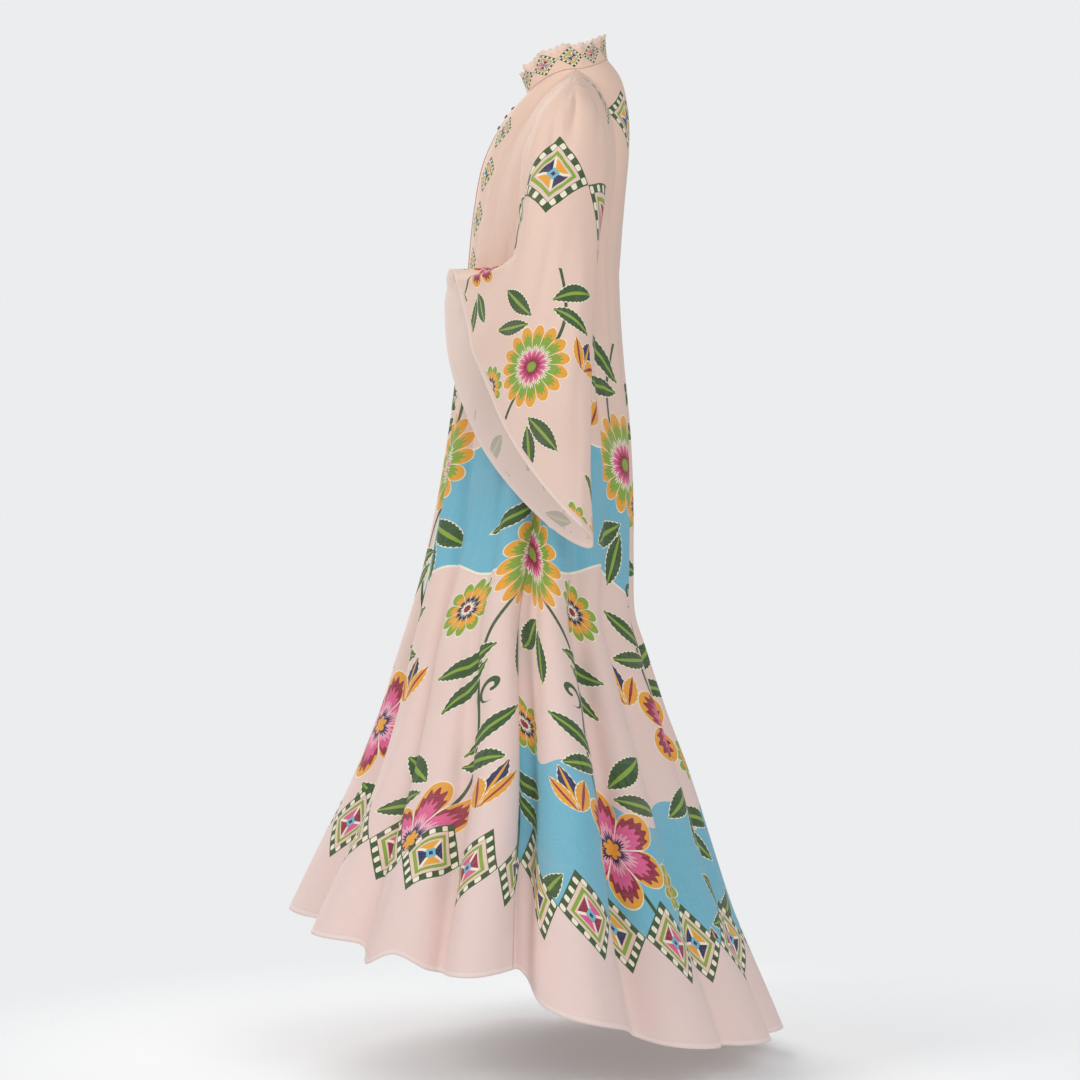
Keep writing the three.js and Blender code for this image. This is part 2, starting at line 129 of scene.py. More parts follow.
# Columns: ridge's angle at the hem, height, level of its start, drift, growth.
FOLDS = np.array([
    [12, 26, -430, -2, 1.2],
    [39, 46, -120, 6, 0.75],
    [63, 22, -560, 2, 1.1],
    [82, 50, -330, 3, 1.2],
    [108, 58, -420, 2, 1.0],
    [134, 34, -300, 8, 1.3],
    [158, 30, -220, 4, 0.9],
    [183, 38, -360, 2, 1.4],
    [207, 34, -240, -3, 1.0],
    [231, 44, -380, -4, 1.2],
    [254, 36, -300, -3, 1.1],
    [276, 48, -420, 0, 1.2],
    [300, 34, -330, 2, 1.1],
    [322, 44, -140, -5, 0.8],
    [345, 30, -420, 3, 1.3],
])
FOLD_MIDDLE = 0.42
FOLD_SQUEEZE = 0.08
CENTRE_FRONT = [(0, -68, -36), (0, -98, -71), (0, -128, -128), (0, -142, -196), (0, -152, -290)]
CENTRE_BACK = [(0, 46, 14), (0, 64, -12), (0, 74, -58), (0, 75, -110), (0, 69, -190), (0, 62, -290)]
NECK_HALF_WIDTH, NECK_FRONT, NECK_BACK = 62, -68, 46
NECK_FRONT_LEVEL, NECK_SIDE_LEVEL, NECK_BACK_LEVEL = -36, -8, 14
UNDERARM = -220
CENTRE_DROP = 70
NECK_SHARE = 0.4
SLEEVE_OUTER = [(184, -8, -46), (230, -16, -76), (266, -24, -130), (293, -36, -200), (308, -52, -282),
                (307, -70, -362), (292, -88, -436), (272, -104, -508)]
SLEEVE_FRONT = [(150, -62, -130), (192, -72, -150), (226, -78, -192), (243, -80, -240), (238, -86, -278),
                (205, -106, -293), (158, -138, -295), (105, -174, -291)]
SLEEVE_INNER = [(168, -40, -220), (181, -41, -236), (192, -48, -256), (202, -63, -286), (210, -80, -330),
                (208, -102, -384), (196, -126, -438), (178, -150, -490)]
SLEEVE_BACK = [(152, 30, -130), (198, 40, -148), (234, 38, -200), (262, 28, -272), (282, 21, -352),
               (296, 15, -450), (302, 13, -560), (302, 15, -664)]
SLEEVE_LINES = (SLEEVE_OUTER, SLEEVE_FRONT, SLEEVE_INNER, SLEEVE_BACK)
# Columns: angle round the sleeve, height, width.
SLEEVE_WAVES = np.array([[222, 54, 30], [250, 12, 20], [135, -20, 26], [20, 7, 20], [318, 8, 20]], float)
CROOK_STATION, CROOK_REACH, CROOK_ANGLE, CROOK_SPREAD, CROOK_DEPTH = 0.56, 0.1, 96, 46, 18


def smooth_table(table, column, at):
    """A smooth curve through one column of a table, looked up by its first column."""
    rows = table[np.argsort(table[:, 0])]
    keys, values = rows[:, 0], rows[:, column]
    high = np.clip(np.searchsorted(keys, at), 1, len(keys) - 1)
    low = high - 1
    before, after = np.maximum(low - 1, 0), np.minimum(high + 1, len(keys) - 1)
    span = keys[high] - keys[low]
    t = (at - keys[low]) / span
    slope_low = (values[high] - values[before]) / (keys[high] - keys[before]) * span
    slope_high = (values[after] - values[low]) / (keys[after] - keys[low]) * span
    return ((2 * t**3 - 3 * t**2 + 1) * values[low] + (t**3 - 2 * t**2 + t) * slope_low
            + (3 * t**2 - 2 * t**3) * values[high] + (t**3 - t**2) * slope_high)


def curve_point(points, t):
    """A point of the smooth curve through some points, at t from 0 to 1."""
    p = np.array(points, float)
    p = np.concatenate([[2 * p[0] - p[1]], p, [2 * p[-1] - p[-2]]])
    t = np.clip(np.asarray(t, float), 0, 1) * (len(points) - 1)
    i = np.minimum(t.astype(int), len(points) - 2)
    share = (t - i)[..., None]
    p0, p1, p2, p3 = p[i], p[i + 1], p[i + 2], p[i + 3]
    d0, d1, d2 = (np.sqrt(np.linalg.norm(b - a, axis=-1))[..., None] for a, b in ((p0, p1), (p1, p2), (p2, p3)))
    slope1 = ((p1 - p0) / d0 - (p2 - p0) / (d0 + d1) + (p2 - p1) / d1) * d1
    slope2 = ((p2 - p1) / d1 - (p3 - p1) / (d1 + d2) + (p3 - p2) / d2) * d1
    return (p1 + slope1 * share + (3 * (p2 - p1) - 2 * slope1 - slope2) * share**2
            + (2 * (p1 - p2) + slope1 + slope2) * share**3)


def hem_level(angle):
    return smooth_table(HEM_ROUND, 1, angle % 360)


def fold_push(angle, level):
    """The folds' push outwards, and sideways in degrees."""
    turned = angle % 360
    hem = hem_level(angle)
    ridge, height, start, drift, growth = (c[:, None] for c in FOLDS.T)
    opened = np.clip((start - level) / (start - hem), 0, 1) ** growth
    at = ridge + drift * (opened - 1)
    height = height * opened
    after = (at <= turned).sum(0)
    count = len(FOLDS)
    points = np.arange(len(turned))
    after_at = at[after % count, points] + 360 * (after == count)
    before_at = at[(after - 1) % count, points] - 360 * (after == 0)
    share = (turned - before_at) / (after_at - before_at)
    smooth = share**2 * (3 - 2 * share)
    tall = height[(after - 1) % count, points] * (1 - smooth) + height[after % count, points] * smooth
    wave = 0.5 + 0.5 * np.cos(2 * np.pi * share)
    lean = (after_at - before_at) * FOLD_SQUEEZE * np.sin(2 * np.pi * share) * np.minimum(1, tall / 30)
    return tall * (wave - FOLD_MIDDLE), lean


def skirt_point(angle, level):
    shape = np.broadcast(angle, level).shape
    angle = np.broadcast_to(angle, shape).astype(float).ravel()
    level = np.broadcast_to(level, shape).astype(float).ravel()
    front, back, half_width = (smooth_table(SECTIONS, c, level) for c in (1, 2, 3))
    middle, half_depth = (front + back) / 2, (back - front) / 2
    out, lean = fold_push(angle, level)
    a = np.radians(angle + lean)
    normal = np.stack([np.sin(a) / half_width, -np.cos(a) / half_depth])
    normal /= np.linalg.norm(normal, axis=0)
    x = half_width * np.sin(a) + normal[0] * out
    y = middle - half_depth * np.cos(a) + normal[1] * out
    return np.stack([x, y, level], axis=-1).reshape(shape + (3,))


def ring_point(outer, front, inner, back, angle):
    """A point of the closed curve through four points that lie a quarter turn apart."""
    a = np.radians(angle)[..., None]
    return ((outer + front + inner + back) / 4
            + (outer - inner) / 2 * np.cos(a) + (front - back) / 2 * np.sin(a)
            + (outer + inner - front - back) / 4 * np.cos(2 * a))


def armhole_point(angle):
    corners = (np.array(line[0], float) for line in SLEEVE_LINES)
    return ring_point(*corners, np.asarray(angle, float))


def neck_point(angle):
    forward = np.cos(np.radians(angle))
    reach = np.where(forward > 0, NECK_FRONT, -NECK_BACK)
    level = np.where(forward > 0, NECK_FRONT_LEVEL, NECK_BACK_LEVEL)
    x = NECK_HALF_WIDTH * np.sin(np.radians(angle))
    z = NECK_SIDE_LEVEL + (level - NECK_SIDE_LEVEL) * forward**2
    return np.stack([x, reach * forward, z], axis=-1)


def top_edge(is_front, across):
    """The body's top: round the neck, then along the shoulder to the armhole."""
    quarter = 90 * np.minimum(across / NECK_SHARE, 1)
    on_neck = neck_point(quarter if is_front else 180 - quarter)
    share = np.clip((across - NECK_SHARE) / (1 - NECK_SHARE), 0, 1)[..., None]
    return on_neck * (1 - share) + armhole_point(0.0) * share


def upper_foot(angle):
    """The level where the upper part ends and the skirt begins."""
    return UNDERARM - CENTRE_DROP * np.abs(np.cos(np.radians(angle)))


def body_point(is_left, is_front, across, down):
    """A point of the body, and its angle. Across is 0 on the centre line and 1 at the side, and negative over the
    centre line. Down is 0 at the top, 1 at the foot of the upper part and 2 at the hem."""
    across, down = (np.array(v, float) for v in np.broadcast_arrays(across, down))
    u, v = np.abs(across), np.clip(down, 0, 1)
    u1, v1 = u[..., None], v[..., None]
    quarter = 90 * u if is_front else 180 - 90 * u
    centre = curve_point(CENTRE_FRONT if is_front else CENTRE_BACK, v)
    foot_centre = skirt_point(0.0 if is_front else 180.0, upper_foot(0.0))
    upper = (top_edge(is_front, u) * (1 - v1) + skirt_point(quarter, upper_foot(quarter)) * v1
             + centre * (1 - u1) + armhole_point((180 if is_front else -180) * v) * u1
             - top_edge(is_front, np.array(0.0)) * (1 - u1) * (1 - v1) - armhole_point(0.0) * u1 * (1 - v1)
             - foot_centre * (1 - u1) * v1 - skirt_point(90.0, float(UNDERARM)) * u1 * v1)
    upper[..., 0] *= np.where((across >= 0) == is_left, 1, -1)
    signed = 90 * across if is_front else 180 - 90 * across
    angle = signed if is_left else 360 - signed
    level = upper_foot(angle) + (hem_level(angle) - upper_foot(angle)) * np.clip(down - 1, 0, 1)
    return np.where((down < 1)[..., None], upper, skirt_point(angle, level)), angle


def bump(distance, width):
    """1 where an angle's distance from the middle is none, and fading to 0 over a width."""
    wrapped = (distance + 540) % 360 - 180
    return np.exp(-((wrapped / width) ** 2))


def sleeve_point(angle, along):
    t = np.clip(along, 0, 1)
    outer, front, inner, back = (curve_point(line, t) for line in SLEEVE_LINES)
    point = ring_point(outer, front, inner, back, angle)
    away = point - (outer + inner) / 2
    away /= np.linalg.norm(away, axis=-1)[..., None]
    wave = sum(height * bump(angle - at, width) for at, height, width in SLEEVE_WAVES)
    crook = np.exp(-(((t - CROOK_STATION) / CROOK_REACH) ** 2)) * bump(angle - CROOK_ANGLE, CROOK_SPREAD)
    return point + away * (wave * t**3 - CROOK_DEPTH * crook)[..., None]


# Creases
# Soft ridges and troughs too small for the solids: long falls down the skirt and short pulls in the sleeves.
# The main ones are listed. The rest have places, sizes and depths drawn from one seeded source.
draws = np.random.default_rng(11)


def crease_table(count, places, starts, lengths, widths, depths, drifts):
    """Rows of place, start, length, width, depth and drift, each drawn between its two limits."""
    limits = (places, starts, lengths, widths, depths, drifts)
    return np.stack([draws.uniform(low, high, count) for low, high in limits], axis=1)


# The long folds that fall from the hips.
# Columns: angle, start below the shoulders, length, width, depth, drift.
HANGING_CREASES = [
    (40, 560, 860, 4, -12, -8),
    (51, 520, 900, 5, 9, 6),
    (60, 560, 880, 4, -14, 18),
    (88, 560, 880, 4, -13, 8),
    (101, 600, 840, 5, 9, 8),
    (119, 620, 860, 4.5, -13, 6),
    (137, 500, 900, 5, -10, 4),
    (163, 540, 880, 5, -11, -5),
    (196, 520, 900, 5, 9, 5),
    (224, 500, 880, 6, 8, -4),
    (243, 620, 820, 4.5, -12, -6),
    (268, 560, 880, 4, -13, -6),
    (299, 600, 840, 5, 9, -8),
    (321, 540, 860, 4, -12, 7),
    (345, 580, 840, 4.5, -10, 6),
]
BODY_CREASES = np.concatenate([
    np.array(HANGING_CREASES, float),
    crease_table(40, (0, 360), (350, 700), (400, 900), (2.2, 5.0), (-8, 6), (-7, 7)),
    crease_table(44, (0, 360), (60, 380), (200, 480), (2.0, 4.5), (-6.5, 4.5), (-6, 6)),
    crease_table(20, (0, 360), (850, 1100), (200, 420), (1.6, 3.4), (-4, 3.5), (-3, 3)),
])
SLEEVE_CREASES = np.concatenate([
    crease_table(26, (0, 360), (-0.12, 0.0), (0.25, 0.5), (3.0, 6.0), (-4.5, 2.5), (-12, 12)),
    crease_table(24, (0, 360), (0.0, 0.3), (0.25, 0.5), (5, 11), (-7, 5), (-30, 30)),
    crease_table(16, (40, 170), (0.4, 0.6), (0.10, 0.25), (6, 14), (-7, 5), (-40, 40)),
    crease_table(26, (0, 360), (0.40, 0.75), (0.3, 0.55), (4, 9), (-8, 6), (-16, 16)),
])


def creased(table, place, along):
    """The creases' total push at a place round a piece and a distance along it."""
    total = np.zeros(np.broadcast(place, along).shape)
    for at, start, length, width, depth, drift in table:
        share = (along - start) / length
        envelope = np.where((share > 0) & (share < 1), np.sin(np.pi * np.clip(share, 0, 1)) ** 1.5, 0)
        total += depth * envelope * bump(place - at - drift * share, width)
    return total


def grid_normals(points):
    """The unit normals of a grid of points. Whether they face out depends on the way that its columns run."""
    across, down = np.gradient(points, axis=1), np.gradient(points, axis=0)
    normal = np.cross(across, down)
    return normal / np.maximum(np.linalg.norm(normal, axis=-1), 1e-9)[..., None]


def lengths_along(points, axis):
    """The distance along each line of a grid from its first point."""
    steps = np.linalg.norm(np.diff(points, axis=axis), axis=-1)
    first = np.zeros_like(np.take(steps, [0], axis=axis))
    return np.concatenate([first, np.cumsum(steps, axis=axis)], axis=axis)


# Printed linen
# The print is worked out from each piece's flat cloth, in metres. A meandering vine with leaves and blooms
# repeats with a half drop, and a band of lozenges follows the hem. The shader nodes come from plain arithmetic.
def plug(tree, value, socket):
    """Set a socket from a Value, another socket or a plain number or colour."""
    if isinstance(value, Value):
        tree.links.new(value.socket, socket)
    elif isinstance(value, bpy.types.NodeSocket):
        tree.links.new(value, socket)
    else:
        socket.default_value = value


class Value:
    """A number that shader nodes work out."""

    def __init__(self, tree, socket):
        self.tree, self.socket = tree, socket

    def __add__(self, other):
        return self.math("ADD", other)

    def __sub__(self, other):
        return self.math("SUBTRACT", other)

    def __mul__(self, other):
        return self.math("MULTIPLY", other)

    def __truediv__(self, other):
        return self.math("DIVIDE", other)

    def __pow__(self, other):
        return self.math("POWER", other)

    def __lt__(self, other):
        return self.math("LESS_THAN", other)

    def __gt__(self, other):
        return self.math("GREATER_THAN", other)

    __radd__ = __add__
    __rmul__ = __mul__

    def math(self, operation, *others):
        node = self.tree.nodes.new("ShaderNodeMath")
        node.operation = operation
        for socket, value in zip(node.inputs, (self, *others)):
            plug(self.tree, value, socket)
        return Value(self.tree, node.outputs[0])


def new_node(tree, kind, inputs=(), **settings):
    node = tree.nodes.new(kind)
    for name, value in settings.items():
        setattr(node, name, value)
    for name, value in dict(inputs).items():
        plug(tree, value, node.inputs[name])
    return node


def painted(tree, under, over, mask):
    """One colour over another where the mask is 1. Colours are sockets or plain values."""
    node = new_node(tree, "ShaderNodeMix", data_type="RGBA")
    for place, value in ((0, mask), (6, under), (7, over)):
        plug(tree, value, node.inputs[place])
    return node.outputs[2]


def uv_values(tree, name):
    node = new_node(tree, "ShaderNodeUVMap", uv_map=name)
    parts = new_node(tree, "ShaderNodeSeparateXYZ", {"Vector": node.outputs[0]})
    return Value(tree, parts.outputs[0]), Value(tree, parts.outputs[1])


def noise_value(tree, x, y, scale, detail=2.0, shift=0.0):
    place = new_node(tree, "ShaderNodeCombineXYZ", {"X": x, "Y": y, "Z": shift})
    inputs = {"Vector": place.outputs[0], "Scale": scale, "Detail": detail}
    noise = new_node(tree, "ShaderNodeTexNoise", inputs)
    return Value(tree, noise.outputs["Fac"])


BLUSH = colour(238, 206, 190)
PEACH = colour(240, 205, 184)
ROSE = colour(237, 210, 203)
LEAF = colour(48, 82, 34)
LIME = colour(136, 168, 48)
MUSTARD = colour(238, 165, 42)
CRIMSON = colour(150, 24, 58)
PINK = colour(226, 92, 144)
PALE_PINK = colour(240, 168, 190)
TURQUOISE = colour(112, 184, 206)
NAVY = colour(28, 34, 84)
CREAM = colour(247, 238, 212)


# A leaf's sawn edge, outline and rib, then a bloom's petals, their feathered colours and the lines between them.
SAW_PITCH, SAW_DEPTH, LEAF_OUTLINE = 0.008, 0.0007, 0.0014
RIB_SHARE, RIB_HALF_WIDTH = 0.16, 0.0004
PETAL_ROUNDNESS, FEATHER_DEPTH, BLOOM_OUTLINE = 0.7, 0.05, 0.0018
PETAL_LINE_WIDTH, PETAL_LINE_START = 0.09, 0.35


def leaf(tree, under, x, y, root_x, root_y, degrees, length, width, fill=LEAF, rib=LIME):
    """A pointed leaf from its root, with a pale rib and a cream edge."""
    c, s = math.cos(math.radians(degrees)), math.sin(math.radians(degrees))
    along = (x - root_x) * c + (y - root_y) * s
    aside = ((y - root_y) * c - (x - root_x) * s).math("ABSOLUTE")
    bow = along * (along * -1.0 + length) * (4 * width / length**2)
    saw = (along * (2 * math.pi / SAW_PITCH)).math("SINE") * SAW_DEPTH + bow
    inside = aside < saw
    halo = aside < (bow + LEAF_OUTLINE)
    result = painted(tree, under, CREAM, halo)
    result = painted(tree, result, fill, inside)
    return painted(tree, result, rib, inside * (aside < (bow * RIB_SHARE + RIB_HALF_WIDTH)))


def bloom(tree, under, x, y, centre_x, centre_y, radius, petals, depth, rings, streaks, turn):
    """A flower seen from the front. rings lists, from the rim inwards, how far out each colour reaches."""
    dx, dy = x - centre_x, y - centre_y
    reach = (dx * dx + dy * dy).math("SQRT")
    angle = dy.math("ARCTAN2", dx) + turn
    across_petal = (angle * (petals / 2)).math("COSINE").math("ABSOLUTE")
    lobe = across_petal ** PETAL_ROUNDNESS
    rim = lobe * (radius * depth) + radius * (1 - depth)
    share = reach / rim
    feather = (angle * streaks).math("SINE") * FEATHER_DEPTH + share
    result = painted(tree, under, CREAM, reach < (rim + BLOOM_OUTLINE))
    for i, (limit, shade) in enumerate(rings):
        result = painted(tree, result, shade, (share if i in (0, len(rings) - 1) else feather) < limit)
    petal_line = across_petal < PETAL_LINE_WIDTH
    return painted(tree, result, CREAM, petal_line * (share < 1.0) * (share > PETAL_LINE_START))


def group_tree(name, numbers):
    """A node group with some number inputs and a ground colour: the tree, the numbers and the ground."""
    tree = bpy.data.node_groups.new(name, "ShaderNodeTree")
    for label in numbers:
        tree.interface.new_socket(label, in_out="INPUT", socket_type="NodeSocketFloat")
    tree.interface.new_socket("Ground", in_out="INPUT", socket_type="NodeSocketColor")
    tree.interface.new_socket("Color", in_out="OUTPUT", socket_type="NodeSocketColor")
    given = tree.nodes.new("NodeGroupInput")
    return tree, [Value(tree, given.outputs[i]) for i in range(len(numbers))], given.outputs[len(numbers)]


# The repeat's cell, how far the stem sways in it, and the curl that grows from the stem.
CELL_WIDTH, CELL_HEIGHT = 0.27, 0.37
STEM_SWAY, STEM_OFFSET, STEM_HALF_WIDTH = 0.034, 0.012, 0.0030
CURL_X, CURL_DROP, CURL_RADIUS, CURL_TURNS, CURL_GAP = 0.022, 0.160, 0.019, 300.0, 0.45
# Columns: root's x and y, direction in degrees, length, half width.
LEAVES = [
    (0.034, -0.066, -30, 0.090, 0.0150),
    (0.036, -0.080, -66, 0.082, 0.0135),
    (0.000, -0.100, 196, 0.092, 0.0145),
    (-0.004, -0.118, 230, 0.078, 0.0125),
    (-0.018, 0.100, 150, 0.092, 0.0150),
    (-0.020, 0.086, 192, 0.080, 0.0130),
    (0.014, 0.130, 36, 0.084, 0.0140),
    (0.020, 0.116, -4, 0.078, 0.0120),
]
# The bud's three petals. The columns are the same, then fill and rib.
BUD = [
    (0.104, 0.046, 88, 0.060, 0.0130, NAVY, MUSTARD),
    (0.107, 0.046, 60, 0.050, 0.0110, MUSTARD, CRIMSON),
    (0.101, 0.046, 122, 0.050, 0.0110, MUSTARD, CRIMSON),
]
SMALL_RINGS = ((1.0, LIME), (0.74, MUSTARD), (0.44, NAVY), (0.26, CREAM), (0.15, CRIMSON))
LARGE_RINGS = ((1.0, MUSTARD), (0.86, CRIMSON), (0.66, PINK), (0.42, PALE_PINK), (0.27, NAVY), (0.17, MUSTARD))
FAN_RINGS = ((1.0, MUSTARD), (0.80, LIME), (0.50, CREAM), (0.42, PINK), (0.27, CRIMSON), (0.13, LIME))
# Columns: middle's x and y, radius, petals, the petals' depth, rings, streaks, turn.
SMALL_BLOOM = (-0.088, -0.030, 0.038, 11, 0.30, SMALL_RINGS, 44.0, 0.3)
LARGE_BLOOM = (0.012, 0.018, 0.078, 6, 0.46, LARGE_RINGS, 36.0, 0.5)
FAN_BLOOM = (0.012, 0.018, 0.070, 15, 0.26, FAN_RINGS, 60.0, 0.0)


def floral_group():
    """The repeat of vine, leaves and blooms over a ground colour, from U and V in metres."""
    tree, (u, v, top, show), ground = group_tree("floral_repeat", ("U", "V", "Top", "Show"))
    column = (u / CELL_WIDTH).math("FLOOR")
    drop = column.math("FLOORED_MODULO", 2.0) * (CELL_HEIGHT / 2)
    dropped = v + drop
    row = (dropped / CELL_HEIGHT).math("FLOOR")
    x = u - (column + 0.5) * CELL_WIDTH
    y = (dropped - (row + 0.5) * CELL_HEIGHT) * -1.0
    stem_x = (y * (2 * math.pi / CELL_HEIGHT)).math("SINE") * STEM_SWAY + STEM_OFFSET
    result = painted(tree, ground, LEAF, (x - stem_x).math("ABSOLUTE") < STEM_HALF_WIDTH)
    curl_x, curl_y = x - CURL_X, y + CURL_DROP
    curl = (curl_x * curl_x + curl_y * curl_y).math("SQRT")
    spiral = (curl * CURL_TURNS - curl_y.math("ARCTAN2", curl_x)).math("SINE") > CURL_GAP
    result = painted(tree, result, LEAF, spiral * (curl < CURL_RADIUS))
    for blade in LEAVES + BUD:
        result = leaf(tree, result, x, y, *blade)
    result = bloom(tree, result, x, y, *SMALL_BLOOM)
    large = bloom(tree, result, x, y, *LARGE_BLOOM)
    fan = bloom(tree, result, x, y, *FAN_BLOOM)
    odd = (column + row).math("FLOORED_MODULO", 2.0)
    result = painted(tree, large, fan, odd)
    middle = (row + 0.5) * CELL_HEIGHT - drop
    result = painted(tree, ground, result, show * (middle > top))
    out = tree.nodes.new("NodeGroupOutput")
    tree.links.new(result, out.inputs[0])
    return tree


def lozenge_group():
    """A band of lozenges over a ground colour. U runs along it and W across it from its middle."""
    tree, (u, w, pitch, half), ground = group_tree("lozenge_band", ("U", "W", "Pitch", "Half height"))
    cell = (u / pitch).math("FLOOR")
    p = (u / pitch - cell - 0.5) * 2.0
    q = w / half
    far = p.math("ABSOLUTE") + q.math("ABSOLUTE")
    checks = ((p + q) * 13.0).math("SINE") * ((p - q) * 13.0).math("SINE") > 0.12
    swap = cell.math("FLOORED_MODULO", 2.0)
    result = painted(tree, ground, LEAF, far < 1.0)
    result = painted(tree, result, CREAM, (far < 0.97) * checks * (far > 0.76))
    result = painted(tree, result, BLUSH, far < 0.74)
    result = painted(tree, result, LIME, (far < 0.62) * (far > 0.50))
    right = p > 0.0
    upper = q > 0.0
    same = (right - upper).math("ABSOLUTE") < 0.5
    first = painted(tree, NAVY, CRIMSON, swap)
    second = painted(tree, MUSTARD, PINK, swap)
    inner = far < 0.44
    result = painted(tree, result, first, inner * same)
    result = painted(tree, result, second, inner * (same * -1.0 + 1.0))
    on_cross = (p.math("ABSOLUTE") < 0.035) + (q.math("ABSOLUTE") < 0.035)
    result = painted(tree, result, CREAM, inner * on_cross)
    result = painted(tree, result, TURQUOISE, far < 0.17)
    result = painted(tree, result, NAVY, far < 0.07)
    out = tree.nodes.new("NodeGroupOutput")
    tree.links.new(result, out.inputs[0])
    return tree


FLORAL = floral_group()
LOZENGES = lozenge_group()


def with_florals(tree, ground, u, v, top, show):
    """The repeats whose middles lie below the level top, where show is 1."""
    node = new_node(tree, "ShaderNodeGroup", node_tree=FLORAL)
    for name, value in (("U", u), ("V", v), ("Top", top), ("Show", show), ("Ground", ground)):
        plug(tree, value, node.inputs[name])
    return node.outputs[0]


def with_lozenges(tree, ground, u, w, pitch, half):
    node = new_node(tree, "ShaderNodeGroup", node_tree=LOZENGES)
    for name, value in (("U", u), ("W", w), ("Pitch", pitch), ("Half height", half), ("Ground", ground)):
        plug(tree, value, node.inputs[name])
    return node.outputs[0]


# Threads to a metre across and along, the weave's pitch, and the hem's fold with its line of stitches.
THREADS, SLUBS, WEAVE_PITCH = 900.0, 26.0, 0.0011
FOLD_TINT_END, STITCH_LINE, FOLD_END = 0.0070, 0.0072, 0.0075
STITCH_HALF_WIDTH, STITCH_PITCH = 0.0006, 0.0028


def linen_surface(tree, u, v, shade, hem, faded):
    """Plain-weave linen: fine uneven threads, slubs, a stitched hem and a soft sheen."""
    warp = noise_value(tree, u * THREADS, v * SLUBS, 1.0, 1.0)
    weft = noise_value(tree, u * SLUBS, v * THREADS, 1.0, 1.0, 3.0)
    over, under = ((way * (2 * math.pi / WEAVE_PITCH)).math("SINE") for way in (u, v))
    cloudy = noise_value(tree, u, v, 9.0, 4.0, 7.0)
    weave = warp + weft + over * under * 0.35
    lit = painted(tree, shade, colour(255, 252, 248), (weave - 0.75) * 0.16)
    lit = painted(tree, lit, colour(214, 176, 166), (cloudy - 0.52).math("MAXIMUM", 0.0) * 0.5)
    fold = (hem < FOLD_TINT_END) * (hem > 0.0) * 0.30
    lit = painted(tree, lit, colour(250, 238, 232), fold)
    if faded:
        lit = painted(tree, lit, colour(244, 226, 219), 0.6)
    on_line = (hem - STITCH_LINE).math("ABSOLUTE") < STITCH_HALF_WIDTH
    stitches = on_line * ((u * (2 * math.pi / STITCH_PITCH)).math("SINE") > -0.3)
    height = weave * 0.5 - stitches * 1.5 + (hem < FOLD_END) * 1.2 + cloudy * 1.5
    relief = new_node(tree, "ShaderNodeBump", {"Strength": 0.45, "Distance": 0.0006, "Height": height})
    shader = new_node(tree, "ShaderNodeBsdfPrincipled", {"Normal": relief.outputs[0]})
    tree.links.new(lit, shader.inputs["Base Color"])
    rough = cloudy * 0.12 + 0.76
    tree.links.new(rough.socket, shader.inputs["Roughness"])
    shader.inputs["Specular IOR Level"].default_value = 0.25
    shader.inputs["Sheen Weight"].default_value = 0.18
    shader.inputs["Sheen Roughness"].default_value = 0.5
    out = tree.nodes.new("ShaderNodeOutputMaterial")
    tree.links.new(shader.outputs[0], out.inputs[0])


# Where the print lies. Levels are metres down the cloth from the shoulders, or up from the hem.
HIP_TOP, HIP_BOTTOM = 0.555, 0.70
BACK_BLUE_TOP, BACK_BLUE_BOTTOM = 0.345, 0.10
BODY_FLORALS_TOP, SLEEVE_FLORALS_TOP = 0.54, 0.36
HEM_BAND, HEM_FLORALS_END = 0.142, 0.15
CREAM_LINE = 0.003
BLUE_WAVES, BLUE_WAVE_HEIGHT, BLUE_WANDER = 26.0, 0.022, 0.05
CHEST_ASIDE, CHEST_PITCH, CHEST_HALF_HEIGHT = 0.051, 0.036, 0.026
CHEST_FIRST, CHEST_STEP, CHEST_START, CHEST_END = 0.045, 0.064, 0.05, 0.46
UPPER_BACK, UPPER_BACK_START, UPPER_BACK_END, UPPER_BACK_HALF_WIDTH = 0.062, 0.02, 0.105, 0.128
UPPER_SLEEVE, SLEEVE_PRINT_SCALE, SLEEVE_EDGE = 0.175, 1.25, 0.012
COLLAR_MIDDLE = 0.017
# The lozenges' pitch along each band, and their half height.
HEM_LOZENGES = (0.092, 0.055)
UPPER_BACK_LOZENGES = (0.085, 0.042)
SLEEVE_LOZENGES = (0.105, 0.058)
COLLAR_LOZENGES = (0.036, 0.0150)


def hip_zone(u, v, wave, wander, grown):
    """The blue ground at the hips, clear of the middle, and a little larger where grown."""
    aside = u.math("ABSOLUTE") > (wander * 0.12 + (0.02 - grown))
    return ((v + wave) > (HIP_TOP - grown)) * ((v - wave) < (HIP_BOTTOM + grown)) * aside


